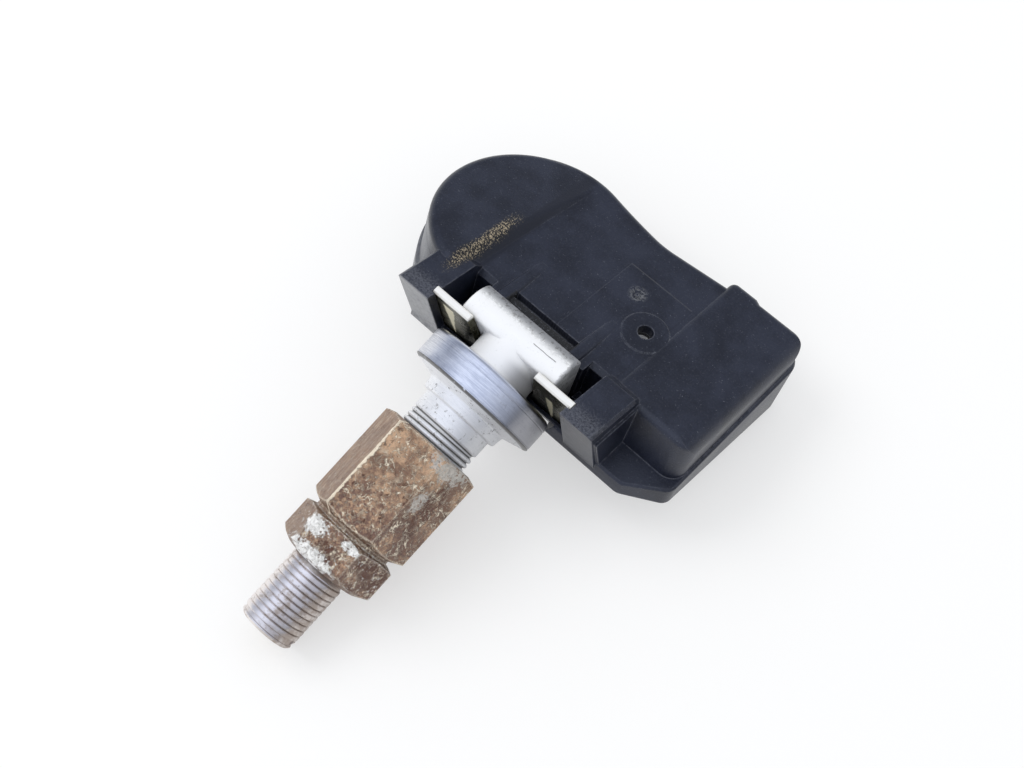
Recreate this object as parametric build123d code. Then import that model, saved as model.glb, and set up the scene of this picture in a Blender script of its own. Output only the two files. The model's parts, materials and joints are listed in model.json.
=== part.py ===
import math
import os

from build123d import *

# Lengths in millimetres, angles in degrees.
# Working frame: underside of the housing at z = 0, stem in the plane x = 0 and pointing to -y.

# reach of a cut that runs right out of the housing
beyond = 40.0

# valve stem, lengths along its axis from the back of the foot to the tip
stem_angle = 31.3
axis_height = 8.1
foot_length = 15.5
foot_front_z = 10.45
foot_back_z = 11.15
foot_crown = 0.9
foot_round = 0.35
foot_bottom = 4.2
foot_back_y = 0.4
neck_d = 9.2
neck_fillet = 1.1
flange_back = 6.1
flange_thick = 4.3
flange_d = 18.2
flange_round = 0.8
face_cone = 0.75
boss_d = 11.7
boss_length = 1.7
shank_d = 9.9
shank_length = 2.2
bare_thread = 2.4
tip_thread_d = 7.74
tip_thread_length = 9.6
tip_relief = 1.0
tip_relief_depth = 0.15
tip_bevel = 0.5
air_bore_d = 2.8

# collar nut
nut_flats = 12.7
nut_hex_length = 14.1
nut_groove = 0.5
nut_groove_depth = 0.5
collar_flats = 12.2
collar_length = 5.3
nut_chamfer = 0.8
nut_turn = 52.8
nut_end_wall = 1.0
thread_clear = 0.05
end_clear = 0.25

# air valve core in the tip
core_thread_d = 5.3
core_depth = 0.8
core_plug = 3.4
core_length = 13.2
core_waist_d = 3.6
core_seat_d = 4.0
core_clear = 0.02
pin_d = 1.0
pin_proud = 0.3
pin_travel = 1.0
pin_head_d = 2.2
pin_head = 0.5
plunger_d = 3.0
plunger = 0.6
seal_thick = 0.5
chamber_d = 2.8
guide_thick = 1.2
guide_clear = 0.08
spring_wire = 0.3
spring_turns = 6

# retaining clip
front_lean = 24.0
clip_thick = 1.0
clip_half = 11.3
clip_mouth = 5.5
clip_top = 11.2
clip_front_y = -6.14
clip_low = 0.45
clip_gap = 0.1
clip_neck_gap = 0.3

# housing shell
deck_height = 9.57
deck_slope = 5.0
wall = 1.5
roof = 1.3
lobe_x = -10.4
lobe_y = 12.1
cell_room = 2.4
lobe_top = 11.7
cap_edge = -14.0
cap_skew = 9.6
cap_round = 1.2
cap_inset = 0.03
top_round = 1.0
box_left = 12.0
box_right = 24.65
box_front = 1.4
box_rear = 26.1
box_rise = 0.3
box_round = 2.4
box_notch_x = 16.4
box_notch = 0.4
waist_x = 2.3
waist_rear = 24.12
waist_start = -7.5
waist_half = 24.78
waist_end = 25.5
waist_soft = 14.0
corner_round = 2.2
skirt_out = 0.45
skirt_height = 2.7
skirt_slope = 12.4
skirt_front = -2.95
skirt_cut_x = 5.2
skirt_cut_y = 3.6
skirt_round = 1.8
ear_grip = 0.4
ear_width = 5.0
ear_round = 0.4
ear_top = 11.2
ear_front = -7.6
ear_back = 1.2
wing_width = 2.2
wing_front = -6.2
pocket_end_y = 2.1
pocket_lip = 0.6
foot_clear = 0.3
seat_clear = 0.05
rib_x = 6.0
rib_width = 1.8
rib_top = 10.4
rib_length = 8.6
slot_half = 5.1
slot_width = 0.95
slot_y = 2.92
slot_depth = 1.1
port_x = 9.6
port_y = 10.95
port_d = 2.1
gate_x = 5.05
gate_y = 14.9
gate_d = 1.9
pad_d = 6.4
pad_height = 0.15

# underside cover
cover_thick = 1.0
cover_ledge = 0.7
cover_clear = 0.1

# inside
board_z = 6.0
board_thick = 0.8
board_gap = 0.4
cell_d = 20.0
cell_thick = 3.2
cell_cap_d = 17.6
cell_cap_step = 0.3
cell_x = -11.2
cell_y = 14.0
tab_thick = 0.2
tab_width = 3.0
tab_reach = 1.4
post_d = 2.6
stake_d = 1.3
stake_clear = 0.1
sensor_side = 5.0
sensor_height = 1.6
lid_side = 4.3
lid_height = 0.45
lid_hole_d = 1.0
seal_wall = 0.8
coil_x = 18.2
coil_y = 14.5
coil_length = 9.0
coil_core_d = 2.2
coil_end = 0.9
coil_winding_d = 2.7
antenna_height = 1.2
antenna_thick = 0.4
antenna_inset = 0.6
antenna_arm = 7.0
antenna_end = 3.6
chip_side = 4.0
chip_height = 0.9
chip_x = 15.6
chip_y = 18.0
crystal_x = 17.0
crystal_y = 11.5
crystal_width = 3.2
crystal_depth = 2.5
crystal_height = 0.8
small_x = -2.0
small_y = 8.0
small_step = 2.2
small_row = 9.5
small_width = 1.0
small_depth = 0.6
small_height = 0.5
post_inset = 2.0
post_left_x = -1.5
post_left_y = 21.0

# derived sizes of the housing
lobe_r = cell_d / 2 + wall + cell_room
ear_inner = clip_half - ear_grip

# derived places along the stem
flange_front = flange_back + flange_thick
cone_end = flange_front + face_cone
boss_end = cone_end + boss_length
shank_end = boss_end + shank_length
nut_start = shank_end + bare_thread
groove_start = nut_start + nut_hex_length
collar_start = groove_start + nut_groove
nut_end = collar_start + collar_length
stem_step = nut_end - nut_end_wall - end_clear
tip_end = nut_end + tip_thread_length
stem_end = tip_end + tip_bevel

angle = math.radians(stem_angle)
lean = math.radians(front_lean)
slope = math.radians(deck_slope)
along = Vector(0, -math.cos(angle), -math.sin(angle))
across = Vector(0, -math.sin(angle), math.cos(angle))
stem_zero = Vector(0, 0, axis_height)
stem_plane = Plane(origin=stem_zero, x_dir=(1, 0, 0), z_dir=along)

# rest attitude: the tip and the rear edge of the underside touch the ground
skirt_rear = max(box_rear + box_notch, lobe_y + lobe_r) + skirt_out
tip_low = stem_zero + along * tip_end - across * (tip_thread_d / 2)
rest_tilt = math.degrees(math.atan2(-tip_low.Z, skirt_rear - tip_low.Y))
rim_seat = stem_zero + along * flange_front


def to_rest(shape):
    return Rot(-rest_tilt, 0, 0) * Pos(*(rim_seat * -1)) * shape


def deck_at(y):
    return deck_height + y * math.tan(slope)


def under_plane(height, tilt):
    block = Box(200, 200, 60, align=(Align.CENTER, Align.CENTER, Align.MAX))
    return Pos(0, 0, height) * Rot(tilt, 0, 0) * block


def under_deck(rise):
    return under_plane(deck_height + rise, deck_slope)


def lean_y(y_top, z_top, z):
    return y_top + (z_top - z) * math.tan(lean)


def ring_profile(points):
    wire = Polyline(*[(r, t) for r, t in points], close=True)
    return revolve(Plane.XZ * make_face(wire), Axis.Z)


def rod(d, start, end):
    block = Cylinder(d / 2, end - start, align=(Align.CENTER, Align.CENTER, Align.MIN))
    return Pos(0, 0, start) * block


def on_stem(shape):
    return stem_plane * shape


def side_prism(points, x_start, x_end):
    face = make_face(Polyline(*points, close=True))
    return Pos(x_start, 0, 0) * extrude(Plane.YZ * face, x_end - x_start)


def front_space(y):
    return Pos(0, y, 0) * Box(200, 200, 200, align=(Align.CENTER, Align.MAX, Align.CENTER))


# retaining clip

clip_plane = Plane(
    origin=(0, clip_front_y, clip_top),
    x_dir=(1, 0, 0),
    z_dir=(0, -math.cos(lean), -math.sin(lean)),
)


def clip_outline(grow):
    length = (clip_top - clip_low) / math.cos(lean)
    plate = Pos(0, -length / 2) * Rectangle(2 * (clip_half + grow), length + 2 * grow)
    return plate


def clip_fork():
    normal = clip_plane.z_dir
    reach = (clip_plane.origin - stem_zero).dot(normal) / along.dot(normal)
    centre = (stem_zero + along * reach - clip_plane.origin).dot(clip_plane.y_dir)
    neck_gap = neck_d / 2 + clip_neck_gap
    throat = make_face(
        Polyline(
            (-clip_mouth, 1),
            (-clip_mouth, 0),
            (-neck_gap, centre),
            (neck_gap, centre),
            (clip_mouth, 0),
            (clip_mouth, 1),
            close=True,
        )
    )
    fork = clip_outline(0) - throat - Pos(0, centre) * Circle(neck_gap)
    solid = extrude(clip_plane * fork, -clip_thick)
    tops = solid.edges().filter_by(Axis.X).sort_by(Axis.Z)[-4:]
    return chamfer(tops, clip_thick * 0.2)


def clip_slot():
    grown = extrude(clip_plane * clip_outline(clip_gap), -clip_thick - clip_gap)
    opening = Pos(0, 5) * Rectangle(2 * (clip_half + clip_gap), 12)
    above = extrude(clip_plane * opening, -clip_thick - clip_gap)
    front = extrude(clip_plane * clip_outline(clip_gap), clip_gap)
    return grown + above + front


# valve stem


def foot():
    clip_back = clip_front_y + clip_thick / math.cos(lean)
    front_top = lean_y(clip_back + clip_gap, clip_top, foot_front_z)
    front_low = lean_y(clip_back + clip_gap, clip_top, foot_bottom)
    middle = (front_top + foot_back_y) / 2
    crest = (foot_front_z + foot_back_z) / 2 + foot_crown
    outline = Polyline(
        (front_top, foot_front_z),
        (front_low, foot_bottom),
        (foot_back_y, foot_bottom),
        (foot_back_y, foot_back_z),
    )
    crown = ThreePointArc((foot_back_y, foot_back_z), (middle, crest), (front_top, foot_front_z))
    block = extrude(Plane.YZ * make_face([outline, crown]), foot_length / 2, both=True)
    ends = block.edges().filter_by(Axis.Z)
    return fillet(ends, foot_round)


def valve_stem():
    neck_r = neck_d / 2
    flange_r = flange_d / 2
    root = flange_back / 3
    body = Polyline(
        (0, root),
        (neck_r, root),
        (neck_r, flange_back - neck_fillet),
        (neck_r + neck_fillet * 0.3, flange_back - neck_fillet * 0.3),
        (neck_r + neck_fillet, flange_back),
        (flange_r - flange_round, flange_back),
        (flange_r - flange_round * 0.3, flange_back + flange_round * 0.3),
        (flange_r, flange_back + flange_round),
        (flange_r, flange_front - flange_round * 0.2),
        (flange_r - flange_round * 0.2, flange_front),
        (boss_d / 2, cone_end),
        (boss_d / 2 - face_cone * 0.4, boss_end - face_cone * 0.2),
        (shank_d / 2, boss_end),
        (shank_d / 2, stem_step - tip_bevel),
        (shank_d / 2 - tip_bevel, stem_step),
        (tip_thread_d / 2 - tip_relief_depth, stem_step),
        (tip_thread_d / 2 - tip_relief_depth, nut_end + tip_relief),
        (tip_thread_d / 2, nut_end + tip_relief),
        (tip_thread_d / 2, tip_end),
        (tip_thread_d / 2 - tip_bevel, stem_end),
        (0, stem_end),
        close=True,
    )
    turned = on_stem(revolve(Plane.XZ * make_face(body), Axis.Z))
    solid = turned & front_space(foot_back_y)
    solid += foot()
    core_top = stem_end - core_depth
    seat_top = core_top - core_plug
    seat_low = seat_top - (core_thread_d - core_seat_d) / 2
    cavity = ring_profile(
        [
            (0, -5),
            (air_bore_d / 2, -5),
            (air_bore_d / 2, core_top - core_length - pin_travel * 3),
            (core_seat_d / 2, core_top - core_length - pin_travel * 2),
            (core_seat_d / 2, seat_low),
            (core_thread_d / 2, seat_top),
            (core_thread_d / 2, stem_end - tip_bevel),
            (core_thread_d / 2 + tip_bevel, stem_end),
            (core_thread_d / 2 + tip_bevel, stem_end + 1),
            (0, stem_end + 1),
        ]
    )
    return solid - on_stem(cavity)


# collar nut


def hexagon(flats, start, end):
    prism = extrude(RegularPolygon(flats / 2, 6, major_radius=False, rotation=nut_turn), end - start)
    return Pos(0, 0, start) * prism


def coned(flats, start, end, low, high):
    corner = flats / math.sqrt(3)
    flat = flats / 2
    drop = (corner - flat) * math.tan(math.radians(30)) + nut_chamfer * 0.4
    return ring_profile(
        [
            (0, start),
            (flat - nut_chamfer * low, start),
            (corner, start + drop * low),
            (corner, end - drop * high),
            (flat - nut_chamfer * high, end),
            (0, end),
        ]
    )


def collar_nut():
    hex_part = hexagon(nut_flats, nut_start, groove_start)
    hex_part &= coned(nut_flats, nut_start, groove_start, 0.5, 1.0)
    collar = hexagon(collar_flats, collar_start, nut_end)
    collar &= coned(collar_flats, collar_start, nut_end, 0.5, 1.0)
    web = rod(collar_flats - 2 * nut_groove_depth, nut_start + 1, nut_end - 1)
    solid = hex_part + collar + web
    solid -= rod(shank_d + 2 * thread_clear, nut_start - 1, nut_end - nut_end_wall)
    solid -= rod(tip_thread_d + 2 * end_clear, nut_start, nut_end + 1)
    return on_stem(solid)


# air valve core

core_top = stem_end - core_depth
core_low = core_top - core_length
guide_top = core_low + guide_thick
pin_top = core_top + pin_proud
head_low = core_top - core_plug / 2


def core_barrel():
    plug_r = core_thread_d / 2 - core_clear
    return on_stem(
        ring_profile(
            [
                (pin_d / 2 + guide_clear, core_low),
                (core_waist_d / 2, core_low),
                (core_waist_d / 2, core_top - core_plug),
                (plug_r, core_top - core_plug),
                (plug_r, core_top),
                (chamber_d / 2, core_top),
                (chamber_d / 2, guide_top),
                (pin_d / 2 + guide_clear, guide_top),
            ]
        )
    )


def core_gasket():
    top = core_top - core_plug
    drop = (core_thread_d - core_seat_d) / 2
    return on_stem(
        ring_profile(
            [
                (core_waist_d / 2, top - drop),
                (core_seat_d / 2 - core_clear, top - drop),
                (core_thread_d / 2 - core_clear * 2, top),
                (core_waist_d / 2, top),
            ]
        )
    )


def core_pin():
    stalk = rod(pin_d, core_low - seal_thick - plunger, pin_top)
    head = rod(pin_head_d, head_low, head_low + pin_head)
    cup = rod(plunger_d, core_low - seal_thick - plunger, core_low - seal_thick)
    return on_stem(stalk + head + cup)


def core_seal():
    ring = rod(plunger_d, core_low - seal_thick, core_low - clip_gap / 2)
    return on_stem(ring - rod(pin_d, core_low - 5, core_low + 5))


def core_spring():
    radius = (pin_head_d - spring_wire) / 2 - clip_gap / 2
    low = guide_top + spring_wire / 2
    high = head_low - spring_wire / 2
    path = Helix(pitch=(high - low) / spring_turns, height=high - low, radius=radius)
    start = Plane(origin=path @ 0, z_dir=path % 0)
    coil = sweep(start * Circle(spring_wire / 2), path=path)
    return on_stem(Pos(0, 0, low) * coil)


# housing shell


def box_plan():
    rear = box_rear + box_notch
    plan = make_face(
        Polyline(
            (box_left, box_front),
            (box_right, box_front),
            (box_right, box_rear),
            (box_notch_x + box_notch, box_rear),
            (box_notch_x - box_notch, rear),
            (box_left, rear),
            close=True,
        )
    )
    plan = fillet(plan.vertices().sort_by(Axis.X)[-2:], corner_round)
    return fillet(plan.vertices().sort_by(Axis.X)[:2].sort_by(Axis.Y)[-1:], top_round)


def waist_plan():
    front = foot_back_y + foot_clear
    side = box_left + corner_round
    start_y = lobe_y + math.sqrt(lobe_r**2 - (waist_start - lobe_x) ** 2)
    straight = Polyline(
        (waist_start, start_y),
        (lobe_x, start_y),
        (lobe_x, front),
        (side, front),
        (side, waist_end),
        (waist_x, waist_rear),
    )
    half_x = (waist_start + waist_x) / 2
    sweep_in = ThreePointArc((waist_x, waist_rear), (half_x, waist_half), (waist_start, start_y))
    plan = make_face([straight, sweep_in])
    low = plan.vertices().sort_by_distance((waist_x, waist_rear, 0))[0]
    return fillet(low, waist_soft)


def upper_plan():
    return Pos(lobe_x, lobe_y) * Circle(lobe_r) + waist_plan()


def deck_body():
    block = extrude(upper_plan(), 30) & under_deck(0)
    rim = block.faces().sort_by(Axis.Z)[-1].edges()
    behind = rim.filter_by(lambda edge: edge.center().Y > pocket_end_y)
    return fillet(behind, top_round)


def end_form():
    block = Pos(box_right, 0, 0) * Box(60, 200, 60, align=(Align.MAX, Align.CENTER, Align.MAX))
    edge = block.edges().filter_by(Axis.Y).sort_by(Axis.X)[-2:].sort_by(Axis.Z)[-1]
    return Pos(0, 0, deck_height + box_rise) * Rot(deck_slope, 0, 0) * fillet(edge, box_round)


def box_upright():
    block = extrude(box_plan(), 30) & under_deck(box_rise)
    rim = block.faces().sort_by(Axis.Z)[-1].edges()
    return fillet(rim, top_round) & end_form()


def skirt():
    grown = offset(upper_plan() + box_plan(), skirt_out)
    heel = Pos(lobe_x, skirt_rear - skirt_out - lobe_r) * Circle(lobe_r + skirt_out)
    right = box_right + skirt_out
    field = make_face(
        Polyline(
            (-ear_inner - ear_width, skirt_front),
            (right - skirt_cut_x, skirt_front),
            (right, skirt_front + skirt_cut_y),
            (right, lobe_y),
            (-ear_inner - ear_width, lobe_y),
            close=True,
        )
    )
    corners = field.vertices().filter_by(lambda v: v.X > 0 and v.Y < lobe_y - 1)
    plan = grown + heel + fillet(corners, skirt_round)
    block = extrude(plan, 30) & under_plane(skirt_height, skirt_slope)
    rim = block.faces().sort_by(Axis.Z)[-1].edges()
    return chamfer(rim, skirt_out * 0.6)


def lobe_cap():
    disc = Pos(lobe_x, lobe_y) * Circle(lobe_r - cap_inset)
    drum = extrude(disc, lobe_top)
    drum = fillet(drum.faces().sort_by(Axis.Z)[-1].edges(), cap_round)
    above = 2 * lobe_top
    keep = make_face(
        Polyline(
            (-4 * lobe_r, 0),
            (lobe_top, 0),
            (0, lobe_top),
            (0, above),
            (-4 * lobe_r, above),
            close=True,
        )
    )
    wedge = extrude(Plane.XZ * keep, 4 * lobe_r, both=True)
    wedge = Pos(cap_edge, 0, 0) * Rot(0, 0, -cap_skew) * wedge
    cap = drum & wedge
    step = cap.edges().filter_by(GeomType.LINE).sort_by(Axis.Z)[-1]
    return fillet(step, cap_round)


def ear(side):
    low = lean_y(ear_front, ear_top, 0)
    back_low = ear_back + 2
    profile = [
        (low, 0),
        (ear_front, ear_top),
        (ear_back, ear_top),
        (back_low, deck_at(ear_back)),
        (back_low, 0),
    ]
    block = side_prism(profile, ear_inner, ear_inner + ear_width)
    edges = block.edges().filter_by(lambda e: e.center().X > ear_inner + ear_width - 0.1)
    tops = edges.sort_by(Axis.Z)[-2:]
    block = chamfer(tops, ear_round)
    if side < 0:
        block = mirror(block, about=Plane.YZ)
    return block


def wing():
    low = lean_y(wing_front, deck_height, 0)
    rear = box_front + 1
    profile = [(low, 0), (wing_front, deck_at(wing_front)), (rear, deck_at(box_front)), (rear, 0)]
    start = ear_inner + ear_width - wing_width
    return side_prism(profile, start, start + wing_width + 0.4)


def wedge_ribs():
    ribs = Part()
    for side in (-1, 1):
        length = rib_length
        block = Box(rib_width, length, rib_top, align=(Align.CENTER, Align.MIN, Align.MIN))
        block = fillet(block.edges().filter_by(Axis.Y).sort_by(Axis.Z)[-2:], rib_width * 0.3)
        ribs += Pos(side * rib_x, foot_back_y + foot_clear, 0) * block
    return ribs


def pocket():
    floor = foot_bottom - seat_clear
    rear = foot_back_y + foot_clear
    half = foot_length / 2 + foot_clear
    forward = (Align.CENTER, Align.MAX, Align.MIN)
    backward = (Align.CENTER, Align.MIN, Align.MIN)
    middle = Pos(0, rear, floor) * Box(2 * half, beyond, beyond, align=forward)
    ends = Pos(0, pocket_end_y, floor) * Box(2 * ear_inner, beyond, beyond, align=forward)
    wall_block = Pos(0, rear, 0) * Box(2 * half, 10, beyond, align=backward)
    trough = on_stem(rod(neck_d + 4 * clip_neck_gap, -2, flange_back + 4)) & front_space(rear)
    relief = on_stem(rod(flange_d + 1, flange_back - 2 * foot_clear, stem_end))
    lip_z = deck_at(pocket_end_y)
    lip = [
        (pocket_end_y - pocket_lip, lip_z - pocket_lip),
        (pocket_end_y, lip_z - pocket_lip),
        (pocket_end_y + 2 * pocket_lip, lip_z + pocket_lip),
        (pocket_end_y - pocket_lip, lip_z + pocket_lip),
    ]
    lips = side_prism(lip, -ear_inner, -half) + side_prism(lip, half, ear_inner)
    return middle + (ends - wall_block) + trough + relief + lips


def inner_plan(inset):
    plan = offset(upper_plan() + box_plan(), -inset)
    keep_out = Rectangle(2 * (ear_inner + inset), beyond, align=(Align.CENTER, Align.MAX))
    return plan - Pos(0, pocket_end_y + inset) * keep_out


def room():
    return extrude(inner_plan(wall), 30) & under_deck(-roof)


def cover_plan(grow):
    return inner_plan(wall - cover_ledge - grow)


post_edge = wall + post_inset
post_places = [
    (post_left_x, post_left_y),
    (box_right - post_edge, box_front + post_edge),
    (box_right - post_edge, box_rear - post_edge),
]


def stake_posts():
    posts = Part()
    for x, y in post_places:
        roof_part = under_deck(-roof / 2).moved(Location((-x, -y, 0)))
        post = rod(post_d, board_z + board_thick, 30) & roof_part
        posts += Pos(x, y, 0) * (post + rod(stake_d, board_z - 0.4, board_z + board_thick + 0.5))
    return posts


def port_pad():
    disc = Cylinder(pad_d / 2, 2 * pad_height + 1)
    disc = chamfer(disc.faces().sort_by(Axis.Z)[-1].edges(), pad_height)
    return Pos(port_x, port_y, deck_at(port_y) - 0.5) * Rot(deck_slope, 0, 0) * disc


def gate_mark():
    z = deck_at(gate_y)
    dish = Pos(gate_x, gate_y, z + gate_d * 0.6) * Sphere(gate_d * 0.8)
    stub = Pos(gate_x, gate_y, z - 0.6) * Cylinder(gate_d * 0.16, 1.0)
    return dish, stub


def housing_shell():
    body = deck_body() + box_upright() + port_pad()
    body += skirt()
    body += lobe_cap()
    body += wedge_ribs()
    body -= pocket()
    ears = ear(-1) + ear(1) + wing()
    body += ears
    body -= clip_slot()
    body -= on_stem(rod(flange_d + 1, flange_back - 2 * foot_clear, stem_end))
    body -= room()
    body -= extrude(cover_plan(cover_clear), cover_thick + cover_clear)
    body += stake_posts()
    slot = Pos(0, slot_y, deck_at(slot_y)) * Box(2 * slot_half, slot_width, 2 * slot_depth)
    body -= slot
    body -= Pos(port_x, port_y, deck_height) * Cylinder(port_d / 2, 10)
    dish, stub = gate_mark()
    body -= dish
    body += stub
    return body


def base_cover():
    return extrude(cover_plan(0), cover_thick)


# inside


def circuit_board():
    plan = inner_plan(wall + board_gap)
    plan -= Pos(cell_x - cell_d, cell_y) * Rectangle(2 * (cell_d - 2.0), 60)
    for x, y in post_places:
        plan -= Pos(x, y) * Circle(stake_d / 2 + stake_clear)
    return Pos(0, 0, board_z) * extrude(plan, board_thick)


def coin_cell():
    low = cover_thick + tab_thick
    step = cell_cap_step
    profile = [
        (0, low),
        (cell_cap_d / 2, low),
        (cell_cap_d / 2 + step, low + 2 * step),
        (cell_d / 2 - step, low + 2 * step),
        (cell_d / 2, low + 3 * step),
        (cell_d / 2, low + cell_thick - step),
        (cell_d / 2 - step, low + cell_thick),
        (0, low + cell_thick),
    ]
    return Pos(cell_x, cell_y, 0) * ring_profile(profile)


def cell_tab(y, z, reach):
    start = cell_x - 1.5
    end = cell_x + cell_d / 2 + reach
    seat = (Align.MIN, Align.CENTER, Align.MIN)
    flat = Pos(start, y, z) * Box(end - start, tab_width, tab_thick, align=seat)
    leg = Pos(end - tab_thick, y, z) * Box(tab_thick, tab_width, board_z - z, align=seat)
    return flat + leg


def positive_tab():
    return cell_tab(cell_y - 1.5, cover_thick + tab_thick + cell_thick, tab_reach)


def negative_tab():
    return cell_tab(cell_y + 3.0, cover_thick, tab_reach * 2)


board_top = board_z + board_thick


def sensor_body():
    block = Box(sensor_side, sensor_side, sensor_height, align=(Align.CENTER, Align.CENTER, Align.MIN))
    return Pos(port_x, port_y, board_top) * chamfer(block.edges().filter_by(Axis.Z), 0.3)


def sensor_lid():
    block = Box(lid_side, lid_side, lid_height, align=(Align.CENTER, Align.CENTER, Align.MIN))
    block = fillet(block.edges().filter_by(Axis.Z), 0.5)
    block -= Cylinder(lid_hole_d / 2, 4 * lid_height)
    return Pos(port_x, port_y, board_top + sensor_height) * block


def port_seal():
    low = board_top + sensor_height + lid_height
    ring = rod(port_d + 2 * seal_wall, low, low + 4) - rod(port_d, low - 1, low + 5)
    return Pos(port_x, port_y, 0) * ring & under_deck(-roof)


def coil_core():
    half = coil_length / 2
    drop = coil_winding_d / 2 + 0.1
    bar = Box(coil_core_d, coil_length, coil_core_d)
    for side in (-1, 1):
        bar += Pos(0, side * (half - coil_end / 2), 0) * Box(2 * drop, coil_end, 2 * drop)
    return Pos(coil_x, coil_y, board_z - drop) * bar


def coil_winding():
    length = coil_length - 2 * coil_end - 0.2
    drop = coil_winding_d / 2 + 0.1
    block = Box(coil_winding_d, length, coil_winding_d)
    block = fillet(block.edges().filter_by(Axis.Y), 0.5)
    block -= Box(coil_core_d + 0.04, coil_length, coil_core_d + 0.04)
    return Pos(coil_x, coil_y, board_z - drop) * block


def on_board(x, y, width, depth, height):
    block = Box(width, depth, height, align=(Align.CENTER, Align.CENTER, Align.MIN))
    return Pos(x, y, board_top) * block


def radio_chip():
    block = on_board(chip_x, chip_y, chip_side, chip_side, chip_height)
    return chamfer(block.faces().sort_by(Axis.Z)[-1].edges(), 0.1)


def crystal_can():
    block = on_board(crystal_x, crystal_y, crystal_width, crystal_depth, crystal_height)
    return fillet(block.edges().filter_by(Axis.Z), 0.4)


def chip_parts():
    parts = Part()
    for row in range(2):
        for place in range(4):
            x = small_x + place * small_step
            y = small_y + row * small_row
            parts += on_board(x, y, small_width, small_depth, small_height)
    return parts


def antenna_strip():
    right = box_right - wall - board_gap - antenna_inset
    front = box_front + wall + board_gap + antenna_end
    rear = box_rear - wall - board_gap - antenna_end
    left = right - antenna_arm
    inner = right - antenna_thick
    path = make_face(
        Polyline(
            (left, front),
            (right, front),
            (right, rear),
            (left, rear),
            (left, rear - antenna_thick),
            (inner, rear - antenna_thick),
            (inner, front + antenna_thick),
            (left, front + antenna_thick),
            close=True,
        )
    )
    return Pos(0, 0, board_top) * extrude(path, antenna_height)


nodes = {
    "housing_shell": housing_shell,
    "base_cover": base_cover,
    "retaining_clip": clip_fork,
    "valve_stem": valve_stem,
    "collar_nut": collar_nut,
    "core_barrel": core_barrel,
    "core_gasket": core_gasket,
    "core_pin": core_pin,
    "core_seal": core_seal,
    "core_spring": core_spring,
    "circuit_board": circuit_board,
    "coin_cell": coin_cell,
    "positive_tab": positive_tab,
    "negative_tab": negative_tab,
    "sensor_body": sensor_body,
    "sensor_lid": sensor_lid,
    "port_seal": port_seal,
    "receiver_coil_core": coil_core,
    "receiver_coil_winding": coil_winding,
    "radio_chip": radio_chip,
    "crystal_can": crystal_can,
    "chip_parts": chip_parts,
    "antenna_strip": antenna_strip,
}

os.makedirs("parts", exist_ok=True)
for name, make in nodes.items():
    export_step(to_rest(make()), "parts/" + name + ".step")
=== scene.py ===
import json
import math

import bmesh
import bpy
from mathutils import Matrix, Vector


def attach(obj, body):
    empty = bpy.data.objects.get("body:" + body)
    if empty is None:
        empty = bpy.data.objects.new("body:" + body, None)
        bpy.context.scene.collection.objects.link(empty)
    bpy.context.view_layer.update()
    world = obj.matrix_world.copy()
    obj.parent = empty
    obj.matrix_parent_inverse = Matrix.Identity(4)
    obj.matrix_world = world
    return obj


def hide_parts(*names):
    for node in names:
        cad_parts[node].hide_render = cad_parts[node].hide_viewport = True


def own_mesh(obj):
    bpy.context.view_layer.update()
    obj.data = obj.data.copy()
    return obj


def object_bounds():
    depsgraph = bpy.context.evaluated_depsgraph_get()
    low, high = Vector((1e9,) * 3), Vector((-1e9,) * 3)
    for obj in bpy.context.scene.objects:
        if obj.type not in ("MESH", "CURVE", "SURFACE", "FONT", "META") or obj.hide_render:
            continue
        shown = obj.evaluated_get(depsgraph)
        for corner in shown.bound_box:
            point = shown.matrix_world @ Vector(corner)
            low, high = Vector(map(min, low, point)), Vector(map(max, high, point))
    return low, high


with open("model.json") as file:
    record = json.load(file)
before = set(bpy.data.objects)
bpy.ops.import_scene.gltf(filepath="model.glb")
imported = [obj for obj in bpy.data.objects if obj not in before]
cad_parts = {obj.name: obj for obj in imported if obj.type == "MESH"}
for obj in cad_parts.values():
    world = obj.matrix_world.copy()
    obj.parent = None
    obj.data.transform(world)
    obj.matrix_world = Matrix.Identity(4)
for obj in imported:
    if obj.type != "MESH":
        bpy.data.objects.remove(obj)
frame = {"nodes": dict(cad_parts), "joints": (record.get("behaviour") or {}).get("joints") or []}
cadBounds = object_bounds()
scene = bpy.context.scene
mm = 0.001

# the valve's own axes, read from the nut's hinge: x across, y up, z out along the valve
hinge = [joint for joint in frame["joints"] if joint["name"] == "nut_turn"][0]
valveAxis = Vector(hinge["axis"]).normalized()
valveUp = Vector((0, valveAxis.z, -valveAxis.y))
flangeFront = 10.4  # mm from the foot's middle to the flange's outer rim, which is the origin
valveTurn = math.atan2(valveAxis.y, valveAxis.z)
valvePlace = Matrix((Vector((1, 0, 0)), valveUp, valveAxis)).transposed().to_4x4()
valvePlace = valvePlace @ Matrix.Translation((0, 0, -flangeFront * mm)) @ Matrix.Scale(mm, 4)

# the housing's own axes: underside at zero height
benchTilt = math.radians(16.7649)
benchSeat = Vector((0, -8.88637, 2.69700))
benchPlace = Matrix.Scale(mm, 4) @ Matrix.Rotation(-benchTilt, 4, "X") @ Matrix.Translation(-benchSeat)


# shader helpers


class Value:
    def __init__(self, finish, socket):
        self.finish = finish
        self.socket = socket

    def __add__(self, other):
        return self.finish.sum("ADD", self, other)

    def __radd__(self, other):
        return self.finish.sum("ADD", other, self)

    def __sub__(self, other):
        return self.finish.sum("SUBTRACT", self, other)

    def __rsub__(self, other):
        return self.finish.sum("SUBTRACT", other, self)

    def __mul__(self, other):
        return self.finish.sum("MULTIPLY", self, other)

    def __rmul__(self, other):
        return self.finish.sum("MULTIPLY", other, self)

    def __truediv__(self, other):
        return self.finish.sum("DIVIDE", self, other)

    def __pow__(self, other):
        return self.finish.sum("POWER", self, other)


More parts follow.
